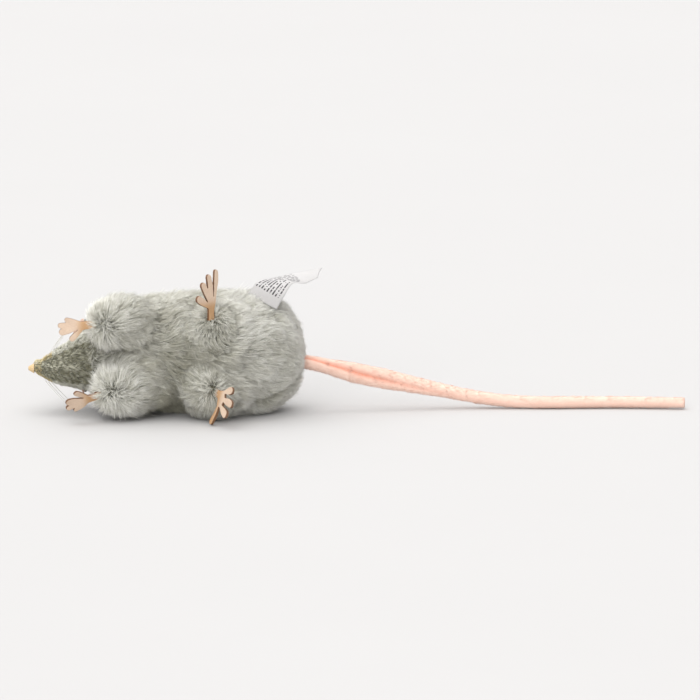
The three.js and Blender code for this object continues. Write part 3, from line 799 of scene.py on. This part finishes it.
def plant(name, body, slot, material, growth, segments=3, radius=STRAND_RADIUS, lock=LOCK):
    """Makes the fur pieces of one panel from its growth: roots, normals, comb, pile, lift, tone."""
    random = np.random.default_rng(SEED + len(name))
    places, normals, comb, pile, lift, tone = growth
    count = len(places)
    stray = random.random(count) < STRAY_SHARE
    pile = np.where(stray, pile * STRAY_LENGTH, pile)
    lift = np.where(stray, lift + STRAY_LIFT, lift)
    paths = grow(places, normals, comb, pile, lift, random, segments)
    paths, _ = gather(paths, places, TUFT, random)
    paths, leader = gather(paths, places, lock, random)
    paths[:, :, 2] = np.maximum(paths[:, :, 2], FLOOR_CLEARANCE + 0.3 * random.random((count, 1)))
    lock_tone = np.random.default_rng(SEED).normal(scale=LOCK_TONE_SPREAD, size=count)[leader]
    strand_tone = random.normal(scale=STRAND_TONE_SPREAD, size=count)
    tone = np.clip(tone + lock_tone + strand_tone, 0.02, 0.98)
    radii = radius * random.uniform(0.75, 1.2, count)
    order = np.argsort(places[:, 0])
    pieces = max(1, math.ceil(count / STRANDS_PER_PIECE))
    for k, part in enumerate(np.array_split(order, pieces)):
        fur = strand_mesh(f"{name}_{k + 1}", paths[part], radii[part], tone[part], material)
        seat(fur, body, slot)


def parting_depth(places):
    """1 on a parting, falling to 0 a few millimetres beside it, and the way away from it."""
    closest = np.full(len(places), 1e9)
    away = np.zeros_like(places)
    for line in PARTINGS:
        for point in smooth_path(line, 40):
            offset = places - point
            distance = np.linalg.norm(offset, axis=1)
            nearer = distance < closest
            closest[nearer] = distance[nearer]
            away[nearer] = offset[nearer]
    return np.exp(-((closest / PARTING_REACH) ** 2)), unit(away)


def shading(places):
    """How much the pile darkens in the hollows of the body."""
    total = np.zeros(len(places))
    for centre, size in HOLLOWS:
        total += near(places, centre, size)
    return np.clip(total, 0, 1)


def torso_comb(places):
    """The way the pile lies on the body, before it is laid onto the surface."""
    x = places[:, 0]
    loose = 0.28 + 0.45 * (1 - ease(x, -25, 8))
    drift = (0.5 * waves(places, 21, seed=15), waves(places, 27, seed=1), waves(places, 27, seed=2))
    to_tail = unit(TAIL_ROUTE[0] - places)
    rear = ease(x, 38, 52)[:, None]
    return (1 - rear) * np.array(BODY_LIE) + rear * to_tail + loose[:, None] * np.stack(drift, axis=1)


def torso_roots(count, random):
    """Roots on the body's skin wherever the head and the legs don't cover it."""
    points, faces = torso_form(SKIN_DEPTH)
    places, normals = scatter(points, faces, count, random)
    keep = (places[:, 2] > LOWEST_ROOT) & (section_level(places, head_sections(0), 0.5) > 1)
    keep &= places[:, 0] > COLLAR_X
    for leg in LEGS:
        keep &= leg_level(places, leg, 2.5) > 1
    return places[keep], normals[keep]


def torso_pile(places, parting, near_leg, hollow, random):
    """Length of the pile: longer by the legs, shorter at the floor, the ends and the partings."""
    x, z = places[:, 0], places[:, 2]
    uneven = random.normal(scale=LENGTH_SPREAD, size=len(x))
    pile = BODY_PILE * (1 + 0.14 * waves(places, 11, seed=3) + uneven)
    pile *= (1 - 0.45 * parting) * np.interp(z, (0, 12), (0.6, 1.0))
    pile *= np.interp(x, (-58, -44, 38, 52), (0.55, 1.0, 1.0, 0.72))
    by_label = near(places, LABEL_ROOT, LABEL_REACH)
    return pile * ((1 + 0.35 * near_leg) * (1 - 0.3 * by_label) * (1 - 0.5 * hollow))


def torso_growth(count, random):
    """The body's pile: it lies from head to tail, parts at the seams and rises by the legs."""
    places, normals = torso_roots(count, random)
    x, z = places[:, 0], places[:, 2]
    parting, away = parting_depth(places)
    near_leg = np.max([crease(leg_level(places, leg)) for leg in LEGS], axis=0)
    hollow = shading(places)
    comb = combed(torso_comb(places) + away * parting[:, None] * 0.9, normals)
    pile = torso_pile(places, parting, near_leg, hollow, random)
    lift = 0.42 + 0.12 * waves(places, 15, seed=4) + 0.28 * near_leg + 0.20 * ease(x, 38, 50)
    lift = np.clip(lift * (1 - 0.5 * parting), 0.12, 0.9)
    # Painted light and shade in the tone: it rises towards the top as painted light from above, and falls
    # along the partings and in the hollows as painted shade.
    tone = 0.38 + 0.14 * waves(places, 26, seed=5) + 0.38 * ease(x, -8, 30) - 0.34 * parting
    tone += 0.34 * ease(z, 36, 58) - 0.9 * hollow
    places = places + normals * (FILLET * near_leg)[:, None]
    return places, normals, comb, pile, lift, tone


def select(growth, mask):
    """The part of a growth where a mask is true."""
    return tuple(part[mask] for part in growth)


def leg_pole(leg):
    """The far end of a leg's skin, where the foot comes out."""
    centre, reach = leg_frame(leg)
    return centre + reach * (leg["long"] - SKIN_DEPTH)


def leg_roots(leg, count, random):
    """Roots on a leg's skin outside the body, the head, the other legs and the foot's root."""
    points, faces = leg_form(leg, SKIN_DEPTH)
    places, normals = scatter(points, faces, count, random)
    keep = (section_level(places, torso_sections(0), 3.5) > 1) & (places[:, 2] > 1.0)
    keep &= section_level(places, head_sections(0)) > 1
    keep &= np.linalg.norm(places - leg_pole(leg), axis=1) > 1.6
    for other in LEGS:
        if other is not leg:
            keep &= leg_level(places, other, 2.0) > 1
    return places[keep], normals[keep]


def leg_growth(leg, count, random):
    """The pile of a leg: it radiates from the whorl at its end and joins the body's lie."""
    places, normals = leg_roots(leg, count, random)
    from_whorl = places - np.array(leg["whorl"])
    merging = ease(np.linalg.norm(from_whorl, axis=1), 9, 18)
    by_whorl = near(places, leg["whorl"], WHORL_REACH)
    meeting = crease(section_level(places, torso_sections(0)))

    drift = np.stack([waves(places, 19, seed) for seed in (6, 7, 8)], axis=1)
    joined = merging[:, None]
    way = (1 - joined) * (unit(from_whorl) + 0.28 * drift) + joined * torso_comb(places)
    cover = random.random(len(places)) < 0.6 * by_whorl
    way[cover] = np.array(WHORL_LIE) + 0.55 * random.normal(size=(cover.sum(), 3))

    at_foot = 0.95 if leg["name"].startswith("fore") else 0.5
    from_pole = np.linalg.norm(places - leg_pole(leg), axis=1)
    pile = leg["pile"] * np.interp(from_pole, (0, 5, 14), (at_foot, 0.9, 1.0))
    uneven = random.normal(scale=LENGTH_SPREAD, size=len(places))
    pile *= 1 + 0.12 * waves(places, 9, seed=9) + uneven
    pile *= 1 + 0.2 * by_whorl
    lift = 0.42 + 0.10 * waves(places, 11, seed=10) + 0.42 * by_whorl + 0.20 * meeting
    tone = 0.42 + leg["white"] * (1 - 0.6 * merging) + 0.25 * by_whorl
    tone += 0.12 * waves(places, 14, seed=11) - 0.35 * shading(places)
    places_raised = places + normals * (FILLET * meeting)[:, None]
    return places_raised, normals, combed(way, normals), pile, np.clip(lift, 0.2, 0.9), tone


def head_growth(count, random):
    """The head's clipped pile, with a pale ridge along the chin's seam."""
    points, faces = head_form(HEAD_SKIN_DEPTH)
    places, normals = scatter(points, faces, count, random)
    keep = (places[:, 0] < -55) & (places[:, 0] > NOSE_CAP_X - 0.5)
    places, normals = places[keep], normals[keep]
    x = places[:, 0]
    drift = (np.ones(len(x)), 0.8 * waves(places, 2.6, seed=12), 0.8 * waves(places, 2.6, seed=13))
    comb = combed(np.stack(drift, axis=1), normals)
    pile = HEAD_PILE * np.interp(x, (-89, -82, -70, -60), (0.6, 0.8, 1.0, 2.2))
    pile *= 1 + random.normal(scale=0.16, size=len(x))
    lift = np.clip(0.34 + 0.16 * waves(places, 4, seed=16), 0.15, 0.8)
    ridge = np.exp(-(((places[:, 2] - HEAD_MIDDLE_Z) / RIDGE_WIDTH) ** 2)) * ease(-x, 64, 68)
    tone = 0.45 + 0.26 * waves(places, 3, seed=14) + 0.8 * ridge
    places = places + 1.5 * normals * ridge[:, None]
    return places, normals, comb, pile, lift, tone


def head_zones(places):
    """Masks of the golden fringe by the nose, the dark chin and the pale cheeks."""
    x, y, z = places.T
    rows = np.array(head_sections(0, 60))
    rows = rows[np.argsort(rows[:, 0])]
    middle_z, width = (np.interp(x, rows[:, 0], rows[:, k]) for k in (2, 4))
    chin = (y < CHIN_SEAM_Y) & (np.abs(z - middle_z) < CHIN_WIDTH * width)
    fringe = (x < FRINGE_X) & (~chin | (x < NOSE_CAP_X + 3.5))
    return fringe, chin & ~fringe, ~chin & ~fringe


# ---- pieces ----


def sewn_skin(name, body, slot, form, nodes, material):
    """A sewn skin over its stuffing."""
    points, faces = form
    skin = make_mesh(name, points * MM, faces, material)
    seat(skin, body, slot, *nodes)


def plush_body(body_fur, backing):
    """The body's skin and its pile, split into the belly and the two back panels."""
    random = np.random.default_rng(SEED)
    nodes = ("back_panel_left", "back_panel_right", "belly_panel", "body_stuffing")
    sewn_skin("body_skin", "torso", "body_plush", torso_form(SKIN_DEPTH), nodes, backing)
    growth = torso_growth(TORSO_STRANDS, random)
    belly = growth[0][:, 1] < SIDE_SEAM_Y
    upper = growth[0][:, 2] > MIDPLANE_Z
    for name, mask in (("fur_belly", belly), ("fur_back_left", ~belly & upper),
                       ("fur_back_right", ~belly & ~upper)):
        plant(name, "torso", "body_plush", body_fur, select(growth, mask))


def plush_leg(leg, body_fur, backing):
    random = np.random.default_rng(SEED + 1)
    name = leg["name"]
    body = f"leg_{name}"
    slot = "leg_plush" if name.startswith("fore") else "body_plush"
    nodes = (f"{body}_skin", f"{body}_stuffing")
    sewn_skin(f"{body}_cover", body, slot, leg_form(leg, SKIN_DEPTH), nodes, backing)
    plant(f"fur_{name}", body, slot, body_fur, leg_growth(leg, LEG_STRANDS, random))


def plush_head(backing):
    fringe_fur = fur_material("nose_fringe_pile", (0.28, 0.20, 0.07), (0.66, 0.52, 0.23),
                              (0.56, 0.46, 0.22), (0.95, 0.87, 0.60))
    chin_fur = fur_material("chin_pile", (0.05, 0.045, 0.015), (0.22, 0.21, 0.10),
                            (0.36, 0.35, 0.23), (0.92, 0.90, 0.76))
    cheek_fur = fur_material("cheek_pile", (0.40, 0.39, 0.29), (0.78, 0.77, 0.66),
                             (0.66, 0.65, 0.55), (1.0, 0.99, 0.93))
    random = np.random.default_rng(SEED + 2)
    nodes = ("head_panel_left", "head_panel_right", "chin_panel", "head_stuffing")
    sewn_skin("head_skin", "head", "head_plush", head_form(HEAD_SKIN_DEPTH), nodes, backing)
    growth = head_growth(HEAD_STRANDS, random)
    furs = (("fur_fringe", fringe_fur), ("fur_chin", chin_fur), ("fur_cheeks", cheek_fur))
    for (name, fur), mask in zip(furs, head_zones(growth[0])):
        plant(name, "head", "head_plush", fur, select(growth, mask), **HEAD_PLANTING)


def plush_parts():
    body_fur = fur_material("body_pile", (0.20, 0.19, 0.115), (0.55, 0.53, 0.42),
                            (0.64, 0.63, 0.53), (1.0, 0.99, 0.94))
    backing = cloth_material("backing_cloth", (0.14, 0.14, 0.10), (0.22, 0.215, 0.16))
    plush_body(body_fur, backing)
    for leg in LEGS:
        plush_leg(leg, body_fur, backing)
    plush_head(backing)


def rounded_copy(node_name, name, voxel, rounds):
    """A CAD node's shape with a fine even mesh and softened edges; lengths in millimetres."""
    copy = placed(name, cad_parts[node_name].data.copy())
    remesh = copy.modifiers.new("remesh", "REMESH")
    remesh.mode = "VOXEL"
    remesh.voxel_size = voxel * MM
    soften = copy.modifiers.new("soften", "SMOOTH")
    soften.iterations = rounds
    evaluated = copy.evaluated_get(bpy.context.evaluated_depsgraph_get())
    mesh = bpy.data.meshes.new_from_object(evaluated)
    copy.modifiers.clear()
    copy.data = mesh
    mesh.materials.clear()
    mesh.polygons.foreach_set("use_smooth", np.ones(len(mesh.polygons), bool))
    return copy


def vertex_vectors(piece, kind):
    values = np.empty(len(piece.data.vertices) * 3)
    piece.data.vertices.foreach_get(kind, values)
    return values.reshape(-1, 3)


def mesh_points(piece):
    """A piece's vertices in millimetres."""
    return vertex_vectors(piece, "co") / MM


def move_points(piece, points):
    piece.data.vertices.foreach_set("co", (points * MM).ravel())
    piece.data.update()


def mesh_normals(piece):
    return vertex_vectors(piece, "normal")


def mark(piece, name, values):
    """Stores a number on each vertex for the material to read."""
    layer = piece.data.attributes.new(name, "FLOAT", "POINT")
    layer.data.foreach_set("value", np.asarray(values, np.float32))


def seat(piece, body, slot, *nodes):
    """Puts a piece on its body in place of the CAD nodes it stands for, if any."""
    if nodes:
        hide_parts(*nodes)
    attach(piece, body)


def dress(piece, body, slot, material, *nodes):
    """Gives a rounded copy its material and its seat."""
    piece.data.materials.append(material)
    seat(piece, body, slot, *nodes)


def suede_feet():
    """Cut suede feet, darker at their edges and towards the sewn end, with a slight curl."""
    suede = suede_material("foot_suede", (0.74, 0.58, 0.45), (0.62, 0.47, 0.36),
                           (0.13, 0.06, 0.03), (0.46, 0.25, 0.10))
    for leg in LEGS:
        name = f"foot_{leg['name']}"
        foot = rounded_copy(name, f"{name}_suede", voxel=0.2, rounds=4)
        points = mesh_points(foot)
        toes = unit(np.array(leg["toes"], float))
        plate = unit(np.cross(toes, np.array(leg["across"], float)))
        flatness = np.abs(mesh_normals(foot) @ plate)
        reach = (points - ankle(leg)) @ toes
        mark(foot, "edge", 0.9 * (1 - ease(flatness, 0.35, 0.75)))
        mark(foot, "root", 0.75 * (1 - ease(reach, 3.0, 9.0)))
        curl = leg["curl"] * ease(reach, 6, 26) + 0.25 * waves(points, 9, seed=21)
        move_points(foot, points + plate * curl[:, None])
        dress(foot, name, "foot_suede", suede, name)


def fuzz(name, points, faces, body, slot, material, count, pile, comb):
    """A short nap over a piece: as the pile, but close and even."""
    random = np.random.default_rng(SEED + 3)
    places, normals = scatter(points, faces, count, random)
    lengths = pile * (1 + random.normal(scale=0.15, size=count))
    combs = combed(np.array(comb) + 0.3 * random.normal(size=places.shape), normals)
    growth = (places, normals, combs, lengths, np.full(count, 0.75), np.full(count, 0.5))
    plant(name, body, slot, material, growth, **FUZZ_PLANTING)


def tail_line(steps):
    """The tail's middle line, in millimetres."""
    return smooth_path(TAIL_ROUTE, steps)


def tail_mesh(steps=170, sides=36):
    """The rolled strip: oval rings, with the open fold running along it as a groove."""
    path = tail_line(steps)
    along = unit(np.gradient(path, axis=0))
    shape = np.array(TAIL_SHAPE, float)
    turns = np.array(TAIL_FOLD_TURN, float)
    rings, fold_shading = [], []
    turn = np.linspace(0, 2 * np.pi, sides, endpoint=False)
    for place, way in zip(path, along):
        height, depth, groove = (np.interp(place[0], shape[:, 0], shape[:, k]) for k in (1, 2, 3))
        fold = math.radians(np.interp(place[0], turns[:, 0], turns[:, 1]))
        towards = unit(np.cross(way, (0, 0, 1)))
        up = np.cross(towards, way)
        gap = (turn - fold + np.pi) % (2 * np.pi) - np.pi
        dent = np.exp(-((gap / FOLD_WIDTH) ** 2))
        radius = 1 - groove * dent
        ring = place + (np.cos(turn) * radius * depth / 2)[:, None] * towards
        ring += (np.sin(turn) * radius * height / 2)[:, None] * up
        rings.append(ring)
        # The groove's painted shade, stronger as the fold gets deeper.
        fold_shading.append(dent * min(1, groove * FOLD_SHADE))
    points, faces = loft(np.array(rings))
    points[:, 2] = np.maximum(points[:, 2], FLOOR_CLEARANCE)
    fold_shading = np.append(np.concatenate(fold_shading), [0, 0])
    return points, outward(points, faces), fold_shading


def velour_tail():
    """The tail: a free cord from the rump to its cut end."""
    points, faces, fold_shading = tail_mesh()
    tail = make_mesh("tail_roll", points * MM, faces, velour_material())
    mark(tail, "fold", fold_shading)
    seat(tail, "tail", "tail_velour", "tail")
    nap = fur_material("tail_nap", (0.82, 0.46, 0.35), (0.86, 0.57, 0.46),
                       (0.87, 0.61, 0.50), (0.89, 0.71, 0.61))
    fuzz("tail_nap", points, faces, "tail", "tail_velour", nap,
         count=TAIL_FUZZ_STRANDS, pile=0.75, comb=(1, 0, 0))


def label_middle(along, across):
    """The label's middle surface and its normals, between its two edges, bowed a little."""
    front = smooth_path(LABEL_FRONT_EDGE, along)
    back = smooth_path(LABEL_BACK_EDGE, along)
    share = np.linspace(0, 1, across + 1)[None, :, None]
    middle = front[:, None] * (1 - share) + back[:, None] * share
    square = unit(np.cross(np.gradient(middle, axis=0), np.gradient(middle, axis=1)))
    return middle + square * (np.sin(np.pi * share) * LABEL_BOW), square


def sheet_faces(along, across):
    """Faces of a closed thin sheet: its two sides, then the rim that joins them."""
    columns = across + 1
    count = (along + 1) * columns
    faces = []
    for row in range(along):
        for column in range(across):
            a = row * columns + column
            top = (a, a + 1, a + columns + 1, a + columns)
            faces.append(top)
            faces.append(tuple(count + i for i in reversed(top)))
    rim = [row * columns for row in range(along + 1)]
    rim += [along * columns + column for column in range(1, columns)]
    rim += [row * columns + across for row in range(along - 1, -1, -1)]
    rim += list(range(across - 1, 0, -1))
    for a, b in zip(rim, rim[1:] + rim[:1]):
        faces.append((a, b, b + count, a + count))
    return faces


def ribbon_label(along=60, across=20):
    """The sewn-in ribbon, a closed thin sheet with the same printing on both its sides."""
    middle, square = label_middle(along, across)
    half = square * LABEL_THICKNESS / 2
    points = np.vstack([(middle + half).reshape(-1, 3), (middle - half).reshape(-1, 3)])
    columns = across + 1
    count = (along + 1) * columns
    label = make_mesh("label_sheet", points * MM, sheet_faces(along, across), ribbon_material())
    mark(label, "reverse", np.arange(2 * count) >= count)
    layer = label.data.uv_layers.new(name=LABEL_UV)
    for loop in label.data.loops:
        spot = loop.vertex_index % count
        layer.data[loop.index].uv = (spot % columns / across, spot // columns / along)
    seat(label, "label", "label_ribbon", "label")


def eyes():
    """Polished beads, and the CAD washers behind the cloth in their own plastic."""
    bead = bead_material()
    washer = plastic_material()
    for side in ("left", "right"):
        eye = rounded_copy(f"eye_{side}", f"eye_{side}_bead", voxel=0.16, rounds=6)
        dress(eye, "head", "eye_bead", bead, f"eye_{side}")
        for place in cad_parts[f"eye_washer_{side}"].material_slots:
            place.material = washer


def ears():
    """Suede-lined ears with a short plush back."""
    lining = suede_material("ear_suede", (0.66, 0.46, 0.36), (0.56, 0.38, 0.30),
                            (0.20, 0.10, 0.06), (0.50, 0.32, 0.24))
    backing = cloth_material("ear_cloth", (0.12, 0.115, 0.08), (0.2, 0.19, 0.14))
    nap = fur_material("ear_pile", (0.14, 0.135, 0.09), (0.36, 0.355, 0.28),
                       (0.30, 0.29, 0.23), (0.74, 0.73, 0.65))
    for side in ("left", "right"):
        body = f"ear_{side}"
        inner = rounded_copy(f"{body}_lining", f"{body}_suede", voxel=0.3, rounds=4)
        for name in ("edge", "root"):
            mark(inner, name, np.zeros(len(inner.data.vertices)))
        dress(inner, body, "ear_suede", lining, f"{body}_lining")
        outer = rounded_copy(f"{body}_back", f"{body}_cloth", voxel=0.3, rounds=4)
        dress(outer, body, "head_plush", backing, f"{body}_back")
        points = mesh_points(outer)
        outer.data.calc_loop_triangles()
        faces = np.array([tuple(face.vertices) for face in outer.data.loop_triangles])
        inward = unit(mesh_points(inner).mean(0) - points.mean(0))
        away = faces[(mesh_normals(outer)[faces].mean(1) @ inward) < 0.2]
        fuzz(f"{body}_nap", points, away, body, "head_plush", nap,
             count=EAR_FUZZ_STRANDS, pile=1.6, comb=(0.6, 0.5, 0))


def node_ends(name):
    """The two ends of a long straight CAD node, the one nearer the head's core first."""
    points = mesh_points(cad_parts[name])
    middle = points.mean(0)
    along = np.linalg.svd(points - middle, full_matrices=False)[2][0]
    reach = (points - middle) @ along
    ends = [middle + along * reach.min(), middle + along * reach.max()]
    return sorted(ends, key=lambda end: np.linalg.norm(end - NECK))


def whiskers():
    """Nylon hairs along the CAD whiskers, drooping a little towards their fine tips."""
    thread = whisker_material()
    for side in ("left", "right"):
        for k in range(WHISKERS_PER_CHEEK):
            name = f"whisker_{side}_{k + 1}"
            start, end = node_ends(name)
            share = np.linspace(0, 1, 15)[:, None]
            droop = np.array((1.2, 0.4, -0.9 if side == "left" else 0.3))
            path = start + (end - start) * share + droop * share**2
            path[:, 2] = np.maximum(path[:, 2], WHISKER_CLEARANCE)
            radii = WHISKER_RADIUS * np.interp(share[:, 0], (0, 1), (1, WHISKER_TIP))
            points, faces = tube(path, radii, 6)
            piece = make_mesh(f"{name}_hair", points * MM, faces, thread)
            seat(piece, "head", "whisker_thread", name)


def stitched_nose():
    """Satin stitch over the nose: threads side by side, slightly slanted."""
    nose = rounded_copy("nose_stitching", "nose_satin", voxel=0.16, rounds=5)
    points = mesh_points(nose)
    centre = points.mean(0)
    turn = np.arctan2(points[:, 2] - centre[2], points[:, 1] - centre[1])
    ridge = THREAD_HEIGHT * np.abs(np.sin(turn * NOSE_THREADS / 2 + points[:, 0] * THREAD_SLANT))
    move_points(nose, points + mesh_normals(nose) * ridge[:, None])
    dress(nose, "head", "nose_thread", thread_material(), "nose_stitching")


make_camera()
make_floor()
light_scene()
velour_tail()
plush_parts()
suede_feet()
ribbon_label()
eyes()
ears()
whiskers()
stitched_nose()
